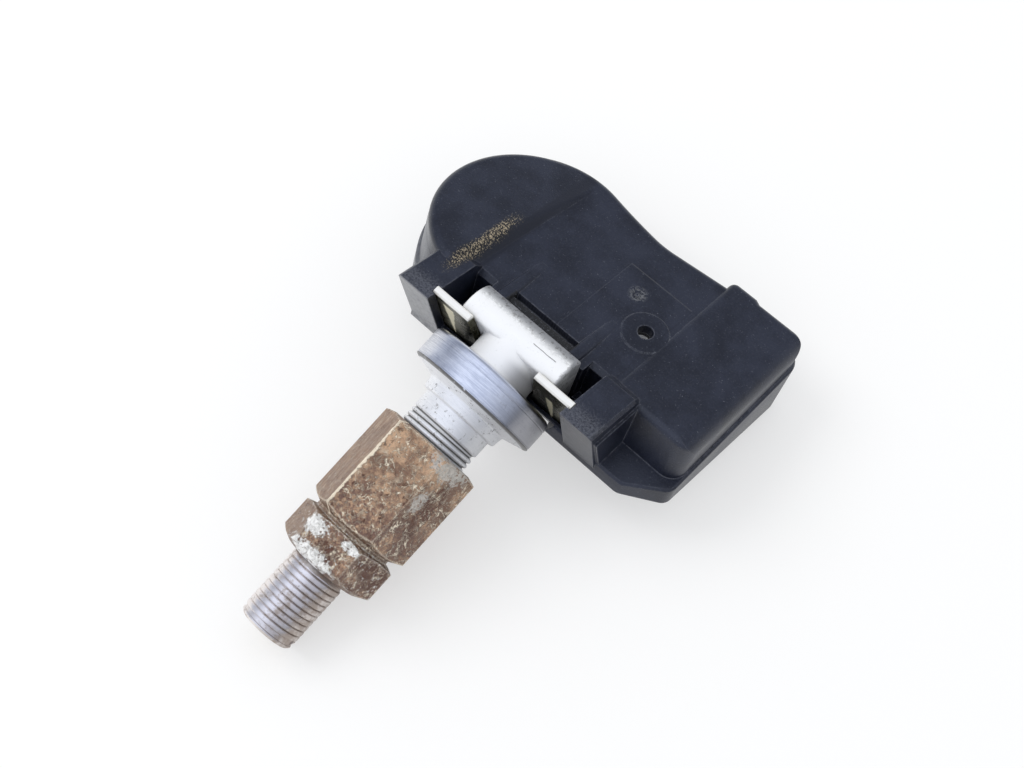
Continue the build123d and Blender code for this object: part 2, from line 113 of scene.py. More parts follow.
class Finish:
    def __init__(self, name, tree=None, **fixed):
        if tree is None:
            self.material = bpy.data.materials.new(name)
            self.material.use_nodes = True
            tree = self.material.node_tree
            self.shader = tree.nodes["Principled BSDF"]
            for socketName, number in fixed.items():
                self.shader.inputs[socketName.replace("_", " ")].default_value = number
        self.nodes = tree.nodes
        self.links = tree.links

    def node(self, kind, settings, sockets, output=0):
        made = self.nodes.new(kind)
        for key, setting in settings.items():
            setattr(made, key, setting)
        for key, given in sockets.items():
            if isinstance(given, Value):
                self.links.new(given.socket, made.inputs[key])
            else:
                made.inputs[key].default_value = given
        return Value(self, made.outputs[output])

    def sum(self, operation, first, second):
        return self.node("ShaderNodeMath", {"operation": operation}, {0: first, 1: second})

    def clamp(self, value):
        return self.node("ShaderNodeClamp", {}, {0: value})

    def smooth(self, value, low, high, start=0.0, end=1.0):
        settings = {"interpolation_type": "SMOOTHSTEP", "clamp": True}
        return self.node("ShaderNodeMapRange", settings, {0: value, 1: low, 2: high, 3: start, 4: end})

    def noise(self, place, scale, detail=3.0, roughness=0.55, distortion=0.0):
        sockets = {"Vector": place, "Scale": scale, "Detail": detail, "Roughness": roughness}
        return self.node("ShaderNodeTexNoise", {}, {**sockets, "Distortion": distortion})

    def mix(self, factor, first, second):
        return self.node("ShaderNodeMix", {"data_type": "RGBA"}, {0: factor, 6: first, 7: second}, 2)

    def size(self, value):
        return self.sum("ABSOLUTE", value, 0.0)

    def stretch(self, place, factors):
        return self.node("ShaderNodeVectorMath", {"operation": "MULTIPLY"}, {0: place, 1: factors})

    def dot(self, first, second):
        return self.node("ShaderNodeVectorMath", {"operation": "DOT_PRODUCT"}, {0: first, 1: second}, "Value")

    def rounding(self, radius):
        return self.node("ShaderNodeBevel", {"samples": 6}, {"Radius": radius * mm})

    def axis(self, place, output):
        return self.node("ShaderNodeSeparateXYZ", {}, {0: place}, output)

    def objectPlace(self, turn=0.0, shift=(0.0, 0.0, 0.0)):
        coords = self.node("ShaderNodeTexCoord", {}, {}, "Object")
        sockets = {"Vector": coords, "Rotation": (turn, 0.0, 0.0), "Location": shift}
        return self.node("ShaderNodeMapping", {}, {**sockets, "Scale": (1 / mm, 1 / mm, 1 / mm)})

    def valveCoords(self):
        return self.objectPlace(valveTurn, (0.0, 0.0, flangeFront))

    def benchCoords(self):
        return self.objectPlace(benchTilt, tuple(benchSeat))

    def veins(self, place, scale, width, low, high):
        wander = self.size(self.noise(place, scale, 3.0, 0.6, 0.5) - 0.5)
        broken = self.smooth(self.noise(place, scale * 1.7, 2.0, 0.5), low, high)
        return (1 - self.smooth(wander, width * 0.4, width)) * broken

    def spot(self, first, second, centre, size):
        away = ((first - centre[0]) / size[0]) ** 2 + ((second - centre[1]) / size[1]) ** 2
        return 1 - self.smooth(away, 0.0, 1.0)

    def edges(self, radius):
        true = self.node("ShaderNodeNewGeometry", {}, {}, "Normal")
        return 1 - self.dot(self.rounding(radius), true)

    def bump(self, height, distance, strength=1.0, under=None):
        sockets = {"Height": height, "Distance": distance * mm, "Strength": strength}
        if under is not None:
            sockets["Normal"] = under
        return self.node("ShaderNodeBump", {}, sockets)

    def wire(self, **given):
        for socketName, value in given.items():
            self.links.new(value.socket, self.shader.inputs[socketName.replace("_", " ")])
        return self.material


def grey(level):
    return (level, level, level, 1.0)


# mesh helpers


def copyOfNode(node):
    bm = bmesh.new()
    bm.from_mesh(frame["nodes"][node].data)
    bmesh.ops.remove_doubles(bm, verts=bm.verts, dist=0.002 * mm)
    bmesh.ops.dissolve_limit(bm, angle_limit=math.radians(0.3), verts=bm.verts, edges=bm.edges)
    return bm


def sharpEdges(bm, angle):
    return [e for e in bm.edges if len(e.link_faces) == 2 and e.calc_face_angle() > math.radians(angle)]


def soften(bm, edges, width, segments=2):
    bmesh.ops.bevel(
        bm, geom=edges, offset=width, offset_type="OFFSET", affect="EDGES",
        segments=segments, profile=0.5, material=-1, clamp_overlap=True,
    )


def makePiece(bm, name, body, material, nodes, smoothAngle=30):
    mesh = bpy.data.meshes.new(name)
    bm.to_mesh(mesh)
    bm.free()
    for layer in ("custom_normal", "sharp_face"):
        if layer in mesh.attributes:
            mesh.attributes.remove(mesh.attributes[layer])
    mesh.shade_smooth()
    mesh.set_sharp_from_angle(angle=math.radians(smoothAngle))
    mesh.materials.clear()
    mesh.materials.append(material)
    piece = bpy.data.objects.new(name, mesh)
    scene.collection.objects.link(piece)
    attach(piece, body)
    if nodes:
        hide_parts(*nodes)
    print(name, "faces", len(mesh.polygons))
    return piece


def paintNode(node, material):
    mesh = frame["nodes"][node].data
    mesh.materials.clear()
    mesh.materials.append(material)


# housing moulding

housingLook = {
    "dark": (0.0036, 0.0050, 0.0125, 1.0),
    "pale": (0.0140, 0.0175, 0.0330, 1.0),
    "dust": (0.120, 0.126, 0.152, 1.0),
    "grit": (0.40, 0.33, 0.23, 1.0),
    "soil": (0.010, 0.009, 0.007, 1.0),
    "filmAndSheen": (0.32, 0.325, 0.34, 1.0),
    "grain": 4.6,
    "edgeRadius": 0.20,
    "panelLeft": 1.2,
    "panelRight": 11.6,
    "panelRear": 18.25,
    "slotBack": 3.40,
    "slotHalf": 5.1,
    "gritLine": -13.0,
    "slopeLeft": -12.3,
    "slopeRight": -10.4,
    "earInner": 10.6,
    "earBack": -3.0,
    "earFront": -7.6,
    "earTop": 11.2,
    "earHeight": (10.8, 11.05),
    "lean": 0.4452,
    "slopeBack": (0.0, 5.0),
    "gritFrom": (-3.6, 1.4),
    "gritTo": (8.0, 13.0),
    "gritHeight": (9.6, 10.4),
    "gate": (5.05, 14.9),
    "gateReach": 1.5,
    "gateHeight": (9.6, 10.0),
    "wallLeft": -19.0,
    "wallTop": (10.0, 11.0),
    "wallBack": (3.0, 9.0),
    "ledgeFront": (0.2, 0.5),
    "panelHeight": (8.6, 9.2),
    "ribPace": 15.0,
}


def mouldedPlastic():
    look = housingLook
    f = Finish("mouldedPlastic", Specular_IOR_Level=0.5)
    place = f.benchCoords()
    across, back, height = f.axis(place, 0), f.axis(place, 1), f.axis(place, 2)
    beside = f.size(across)
    cloud = f.noise(place, 0.16, 5.0, 0.6)
    grain = f.noise(place, look["grain"], 3.0, 0.6)
    colour = f.mix(f.smooth(cloud + grain * 0.4, 0.50, 0.86), look["dark"], look["pale"])
    # dust that has settled in the grain, most of it on top of the ears
    onEars = f.smooth(beside, look["earInner"], look["earInner"] + 0.3) * f.smooth(height, *look["earHeight"])
    onEars = onEars * (1 - f.smooth(back, look["earBack"] - 3.2, look["earBack"]))
    dust = f.smooth(f.noise(place, 3.4, 8.0, 0.75) + onEars * 0.16, 0.50, 0.76)
    dust = dust * (onEars * 0.40 + 0.20)
    specks = f.smooth(f.noise(place, 5.0, 2.0, 0.5) + onEars * 0.03, 0.68, 0.74) * 0.7
    colour = f.mix(f.clamp(dust + specks), colour, look["dust"])
    # pale edges: rubbed wear, and painted highlight where the edges catch the light
    rubbedAndHighlit = f.smooth(f.edges(0.35), 0.02, 0.16)
    rubbedAndHighlit = rubbedAndHighlit * f.smooth(f.noise(place, 1.4, 6.0, 0.7), 0.36, 0.58)
    colour = f.mix(rubbedAndHighlit * 0.8, colour, look["dust"])
    # painted shade: the slope below the round lobe's step is painted dark, as it lies in shadow, and brown
    # grit lies along its top
    slopeShade = f.smooth(across, look["slopeLeft"] - 0.3, look["slopeLeft"] + 0.3)
    slopeShade = slopeShade * f.smooth(back, *look["slopeBack"])
    slopeShade = slopeShade * (1 - f.smooth(across, look["slopeRight"] - 0.7, look["slopeRight"]))
    colour = f.mix(slopeShade * 0.8, colour, look["dark"])
    off = f.size(across - look["gritLine"])
    reach = f.smooth(back, *look["gritFrom"]) * (1 - f.smooth(back, *look["gritTo"]))
    reach = reach * f.smooth(height, *look["gritHeight"])
    band = (1 - f.smooth(off + cloud * 0.8 - 0.4, 0.1, 1.25)) * reach
    colour = f.mix(f.clamp(band * 1.3) * 0.85, colour, look["soil"])
    gritty = f.smooth(f.noise(place, 4.2, 4.0, 0.7) + band * 0.08, 0.575, 0.635)
    gritty = gritty * f.clamp(band * 2.0)
    colour = f.mix(gritty, colour, look["grit"])
    # painted reflection: the ears' front faces, the left one most, and the round lobe's left wall are
    # lightened in dusty patches, standing in for the floor and light they reflect
    ahead = back - look["earFront"] - (look["earTop"] - height) * look["lean"]
    facing = 1 - f.smooth(ahead, 0.05, 0.16)
    facing = facing * f.smooth(beside, look["earInner"], look["earInner"] + 0.3)
    facing = facing * f.smooth(across, -2.0, 2.0, 1.0, 0.05)
    wall = 1 - f.smooth(across, look["wallLeft"], look["wallLeft"] + 2.5)
    wall = wall * (1 - f.smooth(height, *look["wallTop"])) * (1 - f.smooth(back, *look["wallBack"]))
    patchy = f.smooth(f.noise(place, 1.6, 7.0, 0.75), 0.28, 0.60)
    filmAndSheen = f.clamp(facing + wall * 0.45) * (patchy * 0.6 + 0.4)
    colour = f.mix(filmAndSheen * 0.8, colour, look["filmAndSheen"])
    # torn, pale rim of the mould's gate
    torn = f.spot(across, back, look["gate"], (look["gateReach"], look["gateReach"]))
    torn = torn * f.smooth(height, *look["gateHeight"])
    torn = torn * f.smooth(f.noise(place, 2.4, 5.0, 0.7, 0.8), 0.46, 0.56)
    colour = f.mix(torn * 0.45, colour, look["filmAndSheen"])
    # painted shade on the ledge between the foot and the slot, as if in the recess's shadow, with pale crumbs
    # of dirt
    ledge = f.smooth(back, *look["ledgeFront"])
    ledge = ledge * (1 - f.smooth(back, look["slotBack"] - 0.35, look["slotBack"] - 0.2))
    ledge = ledge * (1 - f.smooth(beside, look["slotHalf"] + 0.1, look["slotHalf"] + 0.4))
    crumbs = f.noise(place, 4.4, 4.0, 0.7) * ledge
    colour = f.mix(ledge * 0.9, colour, look["soil"])
    colour = f.mix(f.smooth(crumbs, 0.57, 0.64) * 0.8, colour, look["dust"])
    # fine upright ribs on the slot's rear wall
    inSlot = f.smooth(back, look["slotBack"] - 0.25, look["slotBack"] - 0.1)
    inSlot = inSlot * (1 - f.smooth(back, look["slotBack"] + 0.02, look["slotBack"] + 0.1))
    inSlot = inSlot * (1 - f.smooth(beside, look["slotHalf"], look["slotHalf"] + 0.2))
    ribs = f.sum("SINE", across * look["ribPace"], 0.0) * 0.5 + 0.5
    colour = f.mix(inSlot * (ribs * 0.12 + 0.06), colour, look["dust"])
    # grit, painted shade of the slope, and the ledge's painted shade with dirt, for roughness
    dirtAndShade = f.clamp(band + slopeShade * 0.5 + ledge)
    rough = f.smooth(cloud, 0.25, 0.8, 0.25, 0.36) + dust * 0.4 + grain * 0.1 + dirtAndShade * 0.3
    # shallow panel round the pressure port
    panel = f.smooth(across, look["panelLeft"], look["panelLeft"] + 0.25)
    panel = panel * f.smooth(height, *look["panelHeight"])
    panel = panel * (1 - f.smooth(across, look["panelRight"] - 0.25, look["panelRight"]))
    panel = panel * (1 - f.smooth(back, look["panelRear"] - 0.25, look["panelRear"]))
    raised = f.bump(panel, 0.09, 1.0, f.rounding(look["edgeRadius"]))
    skin = f.bump(grain + gritty * 2.0 + torn * 3.0 + crumbs * 5.0, 0.055, 0.55, raised)
    return f.wire(Base_Color=colour, Roughness=rough, Normal=skin)


housingFinish = mouldedPlastic()
for node in ("housing_shell", "base_cover"):
    paintNode(node, housingFinish)
print("housing painted")

# valve stem

stemLook = {
    "steps": 112,
    "cornerSteps": 5,
    "threadSteps": 72,
    "merge": 0.002,
    # room between a thread's crest and the cone that fades its ends, and the least radius left there
    "crestRoom": 0.02,
    "leastRadius": 0.5,
    # radius, place along the valve, rounding
    "profile": [
        (1.40, 1.20, 0), (4.60, 1.20, 0), (4.60, 6.10, 1.0), (9.10, 6.10, 0.62),
        (9.10, 7.26, 0), (9.05, 7.31, 0), (9.05, 7.39, 0), (9.10, 7.44, 0),
        (9.10, 10.00, 0), (9.04, 10.04, 0), (9.04, 10.12, 0), (9.10, 10.16, 0),
        (9.10, 10.26, 0), (8.94, 10.40, 0.06), (5.85, 11.15, 0.22), (5.62, 12.68, 0.12),
        (4.95, 12.85, 0.06), (4.95, 15.00, 0), (4.86, 15.12, 0), (4.42, 15.40, 0),
        (4.42, 36.10, 0), (3.80, 36.10, 0), (3.80, 37.42, 0.05), (3.62, 37.52, 0),
        (3.62, 46.86, 0), (3.74, 46.92, 0.03), (3.80, 47.05, 0.1), (3.42, 47.45, 0.12),
        (3.15, 47.45, 0.08), (2.65, 46.95, 0), (2.65, 43.25, 0), (2.00, 42.60, 0),
        (2.00, 31.45, 0), (1.40, 30.45, 0),
    ],
    "footHalf": 7.75,
    "footRounding": 0.32,
    "footOutline": [
        (-4.611, 10.45), (-1.828, 4.20), (0.40, 4.20), (0.40, 11.15), (-0.213, 11.45), (-0.869, 11.643),
        (-1.547, 11.721), (-2.229, 11.685), (-2.895, 11.533), (-3.526, 11.271), (-4.103, 10.907),
    ],
    # height and place of the ridge's outline, both as shares
    "coarse": [
        (0, 0), (0.12, 0.05), (0.66, 0.2), (0.95, 0.33), (1, 0.45),
        (1, 0.55), (0.95, 0.67), (0.66, 0.8), (0.12, 0.95), (0, 1),
    ],
    "flat": [
        (0, 0), (0.62, 0.09), (0.90, 0.17), (0.99, 0.28), (1, 0.42),
        (1, 0.58), (0.99, 0.72), (0.90, 0.83), (0.62, 0.91), (0, 1),
    ],
    "shankThread": {
        "start": 14.9, "turns": 5, "root": 4.58, "crest": 4.95,
        "pitch": 0.75, "fade": 0.75, "ridge": "coarse",
    },
    "tipThread": {
        "start": 37.40, "turns": 11, "root": 3.64, "crest": 3.87,
        "pitch": 0.794, "fade": 0.32, "ridge": "flat",
    },
}


def turnStem(bm):
    wire = [bm.verts.new((radius, 0, place)) for radius, place, rounding in stemLook["profile"]]
    for first, second in zip(wire, wire[1:] + wire[:1]):
        bm.edges.new((first, second))
    roundings = [rounding for radius, place, rounding in stemLook["profile"]]
    for corner, rounding in [pair for pair in zip(wire, roundings) if pair[1]]:
        bmesh.ops.bevel(
            bm, geom=[corner], offset=rounding, offset_type="OFFSET", affect="VERTICES",
            segments=stemLook["cornerSteps"], profile=0.5, material=-1, clamp_overlap=True,
        )
    bmesh.ops.spin(
        bm, geom=bm.verts[:] + bm.edges[:], cent=(0, 0, 0), axis=(0, 0, 1),
        angle=2 * math.pi, steps=stemLook["steps"], use_merge=True,
    )


def windThread(bm, thread):
    root, crest, pitch = thread["root"], thread["crest"], thread["pitch"]
    rise = crest - root
    start, turns, steps = thread["start"], thread["turns"], stemLook["threadSteps"]
    shape = stemLook[thread["ridge"]]
    wire = [bm.verts.new((root + rise * up, 0, start + pitch * share)) for up, share in shape]
    ribs = [bm.edges.new(pair) for pair in zip(wire, wire[1:])]
    spun = bmesh.ops.spin(
        bm, geom=wire + ribs, cent=(0, 0, 0), axis=(0, 0, 1), dvec=(0, 0, pitch / steps),
        angle=2 * math.pi * turns, steps=steps * turns, use_merge=False,
    )
    last = [v for v in spun["geom_last"] if isinstance(v, bmesh.types.BMVert)]
    bm.faces.new(wire)
    bm.faces.new(sorted(last, key=lambda v: v.co.z))
    bmesh.ops.remove_doubles(bm, verts=bm.verts, dist=stemLook["merge"])
    # the thread runs out under the turned surface at both ends
    low, high = start + pitch, start + pitch * turns
    for v in bm.verts:
        away = max(low - v.co.z, v.co.z - high, 0) / pitch
        radius = math.hypot(v.co.x, v.co.y)
        cone = crest + stemLook["crestRoom"] - thread["fade"] * away
        shrink = max(min(radius, cone), stemLook["leastRadius"]) / radius
        v.co.x *= shrink
        v.co.y *= shrink


def millFoot(bm):
    half = stemLook["footHalf"]
    outline = [bm.verts.new((-half, y, z)) for y, z in stemLook["footOutline"]]
    side = bm.faces.new(outline)
    pushed = bmesh.ops.extrude_face_region(bm, geom=[side])
    moved = [v for v in pushed["geom"] if isinstance(v, bmesh.types.BMVert)]
    bmesh.ops.translate(bm, vec=(2 * half, 0, 0), verts=moved)
    bmesh.ops.recalc_face_normals(bm, faces=bm.faces)
    soften(bm, sharpEdges(bm, 24), stemLook["footRounding"], 4)


def addTo(whole, build, place, *settings):
    part = bmesh.new()
    build(part, *settings)
    bmesh.ops.recalc_face_normals(part, faces=part.faces)
    bmesh.ops.transform(part, matrix=place, verts=part.verts)
    carrier = bpy.data.meshes.new("carrier")
    part.to_mesh(carrier)
    part.free()
    whole.from_mesh(carrier)
    bpy.data.meshes.remove(carrier)


aluminiumLook = {
    "bright": (0.80, 0.81, 0.85, 1.0),
    "dull": (0.50, 0.52, 0.58, 1.0),
    "white": (0.97, 0.97, 0.97, 1.0),
    "tip": (0.92, 0.86, 0.82, 1.0),
    "tipShade": (0.30, 0.255, 0.23, 1.0),
    "wornAndShade": (0.20, 0.205, 0.22, 1.0),
    "stainAndShade": (0.24, 0.24, 0.26, 1.0),
    "pitAndShade": (0.055, 0.050, 0.046, 1.0),
    "brown": (0.22, 0.150, 0.105, 1.0),
    "scratch": (2.1, 5.9, -2.58),
    "footEnd": 7.6,
    # places along the valve where one surface gives way to the next
    "neckFrom": (3.0, 4.2),
    "neckTo": (5.6, 6.05),
    "flangeTo": (10.3, 10.5),
    "shankFrom": (10.3, 10.6),
    "shankTo": (17.0, 18.0),
    "tipFrom": (36.5, 37.5),
    "grooveFrom": (10.12, 10.2),
    "grooveTo": (10.46, 10.56),
    "grooveRadius": (8.3, 8.55),
    "ridgesFrom": (14.98, 15.1),
    "ridgesTo": (18.8, 19.0),
    "neckRadius": (4.7, 5.2),
    "shankCrest": 4.95,
    "tipCrest": 3.82,
}


def turnedAluminium():
    look = aluminiumLook
    f = Finish("turnedAluminium")
    place = f.valveCoords()
    across, up, out = f.axis(place, 0), f.axis(place, 1), f.axis(place, 2)
    bench = f.benchCoords()
    along, back, height = f.axis(bench, 0), f.axis(bench, 1), f.axis(bench, 2)
    radius = (across * across + up * up) ** 0.5
    angle = f.sum("ARCTAN2", across, up)
    cloud = f.noise(place, 0.5, 5.0, 0.6)
    mottle = f.noise(place, 1.6, 7.0, 0.75)
    # blasted foot and neck, pale boss and shank, bright flange and tip
    blasted = 1 - f.smooth(out, *look["neckTo"])
    onShank = f.smooth(out, *look["shankFrom"]) * (1 - f.smooth(out, *look["shankTo"]))
    onTip = f.smooth(out, *look["tipFrom"])
    onFlange = (1 - blasted) * (1 - f.smooth(out, *look["flangeTo"]))
    # fine rings left by the lathe, broken along their length
    ringPlace = f.node("ShaderNodeCombineXYZ", {}, {0: radius * 0.7, 1: angle * 0.35, 2: out})
    rings = f.noise(ringPlace, 7.0, 5.0, 0.72)
    colour = f.mix(f.smooth(cloud * 0.35 + rings * 0.65, 0.36, 0.66), look["dull"], look["bright"])
    colour = f.mix(f.clamp(blasted + onShank * 0.6), colour, look["white"])
    colour = f.mix(onTip * 0.85, colour, look["tip"])
    # painted shade: the tip is darker towards its right
    tipShade = f.smooth(angle + cloud * 0.5, 0.10, 0.75) * onTip
    colour = f.mix(tipShade * 0.55, colour, look["tipShade"])
    # the flange is darker on its right: painted shade and painted dark reflection, with some dirt
    stainAndShade = f.smooth(angle + cloud * 0.4, 0.40, 1.25) * onFlange
    colour = f.mix(stainAndShade * 0.85, colour, look["stainAndShade"])
    # painted shade also darkens boss and shank, and the neck behind the flange, towards their right
    neck = f.smooth(out, *look["neckFrom"]) * blasted * (1 - f.smooth(radius, *look["neckRadius"]))
    shaded = f.smooth(angle + cloud * 0.4, 0.25, 1.1) * onShank * 0.45
    shaded = shaded + f.smooth(angle, 0.1, 0.8) * neck * 0.6
    colour = f.mix(f.clamp(shaded), colour, look["stainAndShade"])
    # the groove at the flange's front edge is darker in patches, and painted shade lies between the shank's
    # ridges
    groove = f.smooth(out, *look["grooveFrom"]) * (1 - f.smooth(out, *look["grooveTo"]))
    groove = groove * f.smooth(radius, *look["grooveRadius"])
    groove = groove * f.smooth(f.noise(place, 0.9, 5.0, 0.7), 0.28, 0.42)
    valley = f.smooth(look["shankCrest"] - radius, 0.14, 0.30)
    valley = valley * f.smooth(out, *look["ridgesFrom"]) * (1 - f.smooth(out, *look["ridgesTo"]))
    colour = f.mix(f.clamp(groove * 0.9 + valley * 0.85), colour, look["pitAndShade"])
    # the foot's rear edge is worn grey with painted shade where it curves away, its right end is painted
    # shade as if in the pocket's shadow, and one fine scratch crosses its top
    rear = f.smooth(back, -2.5, -0.3) * f.smooth(height, 9.0, 10.5)
    rightEnd = f.smooth(along, look["footEnd"] - 0.5, look["footEnd"] + 0.1)
    rear = f.clamp(rear + rightEnd * 0.75) * blasted
    rear = rear * f.smooth(f.noise(place, 2.4, 8.0, 0.78) + rear * 0.3, 0.46, 0.66)
    colour = f.mix(rear * 0.9, colour, look["wornAndShade"])
    left, right, line = look["scratch"]
    wander = f.noise(bench, 0.9, 2.0, 0.5) * 0.2
    scratch = 1 - f.smooth(f.size(back - line + wander - 0.1), 0.03, 0.08)
    scratch = scratch * f.smooth(along, left, left + 0.2) * (1 - f.smooth(along, right - 0.2, right))
    scratch = scratch * blasted * f.smooth(height, 10.5, 11.0)
    colour = f.mix(scratch * 0.75, colour, look["pitAndShade"])
    # dark pits and specks
    clusters = f.smooth(f.noise(place, 0.8, 3.0, 0.6), 0.46, 0.60)
    pits = f.smooth(f.noise(place, 2.2, 6.0, 0.7), 0.55, 0.61) * clusters
    fine = f.smooth(f.noise(place, 6.0, 3.0, 0.6), 0.62, 0.68) * (clusters * 0.8 + 0.2)
    pitted = 0.10 + onShank * 0.95 + onTip * 0.35 + stainAndShade * 0.4
    pits = f.clamp(pits * 0.65 + fine * 0.7) * pitted + f.smooth(mottle, 0.52, 0.60) * rear * 0.7
    colour = f.mix(f.clamp(pits), colour, look["pitAndShade"])
    # brown dirt on the tip's thread, more on its right
    dirt = f.noise(place, 0.6, 7.0, 0.72) + f.smooth(angle, 0.2, 1.3) * 0.11
    dirt = f.smooth(dirt, 0.50, 0.66) * onTip
    low = f.smooth(look["tipCrest"] - radius, 0.02, 0.22) * onTip
    soil = f.clamp(dirt * 0.55 + low * mottle * 0.15)
    colour = f.mix(soil, colour, look["brown"])
    rough = f.smooth(cloud, 0.2, 0.8, 0.27, 0.36) + f.clamp(blasted + onShank * 0.5) * 0.24
    rough = rough + pits * 0.2 + soil * 0.25
    dull = blasted * 0.75 + onShank * 0.6 + pits * 0.4 + soil * 0.75
    metal = 1 - f.clamp(dull + f.clamp(groove + valley) * 0.8)
    skin = f.bump(rings * (1 - blasted) - pits - scratch + cloud * 0.4 - rear * 0.8, 0.016, 0.5)
    return f.wire(Base_Color=colour, Roughness=f.clamp(rough), Metallic=metal, Normal=skin)


stem = bmesh.new()
addTo(stem, turnStem, valvePlace)
addTo(stem, windThread, valvePlace, stemLook["shankThread"])
addTo(stem, windThread, valvePlace, stemLook["tipThread"])
addTo(stem, millFoot, benchPlace)
stemFinish = turnedAluminium()
makePiece(stem, "valveStem", "sensor", stemFinish, ["valve_stem"])

# collar nut

nutLook = {
    "edge": 0.24,
    "tan": (0.58, 0.375, 0.235, 1.0),
    "brown": (0.190, 0.106, 0.068, 1.0),
    "plum": (0.135, 0.068, 0.052, 1.0),
    "ash": (0.33, 0.235, 0.170, 1.0),
    "rust": (0.105, 0.038, 0.020, 1.0),
    "silver": (0.97, 0.96, 0.94, 1.0),
    "grey": (0.60, 0.57, 0.52, 1.0),
    "cream": (0.95, 0.84, 0.67, 1.0),
    "corners": (-0.398, 0.649),
    "collarStart": 31.75,
    "duskyFrom": (25.0, 33.0),
    "lipFrom": (28.6, 29.6),
    # angle round the valve, place along it, and reach of both
    "brightSpots": [
        ((-0.3, 33.6), (0.38, 1.6)), ((-0.05, 36.6), (0.75, 1.5)), ((0.46, 32.9), (0.26, 0.9)),
    ],
    "greySpots": [((0.95, 18.2), (0.75, 2.6)), ((0.84, 23.6), (0.2, 2.2))],
    "rustSpots": [
        ((1.16, 24.0), (0.32, 5.0)), ((1.3, 33.5), (0.7, 2.6)), ((0.15, 35.0), (0.35, 1.2)),
    ],
}


def stainedNut():
    look = nutLook
    f = Finish("stainedNut")
    place = f.valveCoords()
    across, up, out = f.axis(place, 0), f.axis(place, 1), f.axis(place, 2)
    angle = f.sum("ARCTAN2", across, up)
    leftCorner, rightCorner = look["corners"]
    leftFace = 1 - f.smooth(angle, leftCorner - 0.05, leftCorner + 0.05)
    rightFace = f.smooth(angle, rightCorner - 0.05, rightCorner + 0.05)
    onCollar = f.smooth(out, look["collarStart"] - 0.2, look["collarStart"] + 0.2)
    broad = f.noise(place, 0.34, 6.0, 0.65)
    fine = f.noise(place, 2.0, 7.0, 0.75)
    streaks = f.noise(f.stretch(place, (1.0, 1.0, 0.12)), 2.8, 5.0, 0.68)
    patches = f.smooth(broad * 0.7 + fine * 0.3 - rightFace * 0.06, 0.41, 0.60)
    colour = f.mix(patches, look["brown"], look["tan"])
    # plum brown towards the collar, ash brown with drawn streaks on the far face
    dusky = f.smooth(out + broad * 8.0, *look["duskyFrom"])
    colour = f.mix(dusky * f.smooth(fine, 0.62, 0.40) * 0.85, colour, look["plum"])
    drawn = f.mix(f.smooth(streaks, 0.38, 0.62), look["brown"], look["ash"])
    colour = f.mix(leftFace * 0.8, colour, drawn)
    # rust
    rust = f.noise(place, 0.8, 8.0, 0.74)
    for centre, reach in look["rustSpots"]:
        rust = f.spot(angle, out, centre, reach) * 0.17 + rust
    rust = f.smooth(rust, 0.58, 0.66)
    colour = f.mix(rust * 0.9, colour, look["rust"])
    # cream scale: flakes, short scribbles, and lines worn along the edges, with painted highlight on the
    # edges towards the collar and along the upper-left corner
    edge = f.smooth(f.edges(0.55), 0.012, 0.14)
    ridge = 1 - f.smooth(f.size(angle - leftCorner + broad * 0.12 - 0.06), 0.012, 0.05)
    ridge = ridge * (1 - onCollar)
    lip = f.smooth(out, *look["lipFrom"]) * (1 - onCollar) * 0.2 + 0.19
    flakes = f.noise(place, 1.5, 9.0, 0.82) + edge * lip + ridge * 0.22 - leftFace * 0.05
    flakes = f.smooth(flakes, 0.565, 0.635)
    scribbles = f.veins(place, 0.45, 0.026, 0.48, 0.56)
    scribbles = scribbles + f.veins(f.stretch(place, (1.3, 1.0, 0.8)), 0.8, 0.024, 0.53, 0.59)
    scribbles = f.clamp(scribbles) * (1 - leftFace * 0.8) * f.smooth(fine, 0.40, 0.56)
    haze = f.smooth(f.noise(place, 1.1, 9.0, 0.8, 0.8), 0.50, 0.68) * (1 - leftFace * 0.6)
    scale = f.clamp(flakes * 0.85 + scribbles * 0.9 + haze * 0.6)
    colour = f.mix(scale, colour, look["cream"])
    # grey metal by the shank and white metal on the collar where the stain has worn through
    bare = f.noise(place, 1.5, 9.0, 0.78)
    for centre, reach in look["greySpots"]:
        bare = f.spot(angle, out, centre, reach) * 0.2 + bare
    bare = f.smooth(bare, 0.60, 0.67) * (1 - onCollar)
    colour = f.mix(bare * 0.9, colour, look["grey"])
    shine = f.noise(place, 2.0, 9.0, 0.8, 0.3)
    for centre, reach in look["brightSpots"]:
        shine = f.spot(angle, out, centre, reach) * 0.17 + shine
    shine = f.smooth(shine + edge * 0.08, 0.575, 0.60) * onCollar
    colour = f.mix(shine, colour, look["silver"])
    # dark grains of dirt
    grains = f.smooth(f.noise(place, 5.2, 3.0, 0.6), 0.63, 0.70)
    colour = f.mix(grains * 0.8, colour, look["rust"])
    metal = f.clamp(0.10 + bare * 0.3)
    rough = f.clamp(f.smooth(fine, 0.3, 0.7, 0.38, 0.60) + scale * 0.1)
    skin = f.bump(fine * 0.9 + scale * 0.9 + shine * 0.4 - rust * 0.5 - grains * 0.4, 0.14, 0.9)
    return f.wire(Base_Color=colour, Roughness=rough, Metallic=metal, Normal=skin)


nutFinish = stainedNut()
nut = copyOfNode("collar_nut")
soften(nut, sharpEdges(nut, 20), nutLook["edge"] * mm, 3)
makePiece(nut, "collarNut", "nut", nutFinish, ["collar_nut"])

# spring clip

clipLook = {
    "bright": (0.92, 0.90, 0.85, 1.0),
    "warm": (0.84, 0.78, 0.58, 1.0),
    "olive": (0.085, 0.080, 0.045, 1.0),
    # middle, half width, low and high ends of the two painted glints on the front
    "glints": [(-8.9, 0.85, 2.5, 9.9), (7.7, 0.6, -0.5, 7.9)],
    "top": 11.2,
}


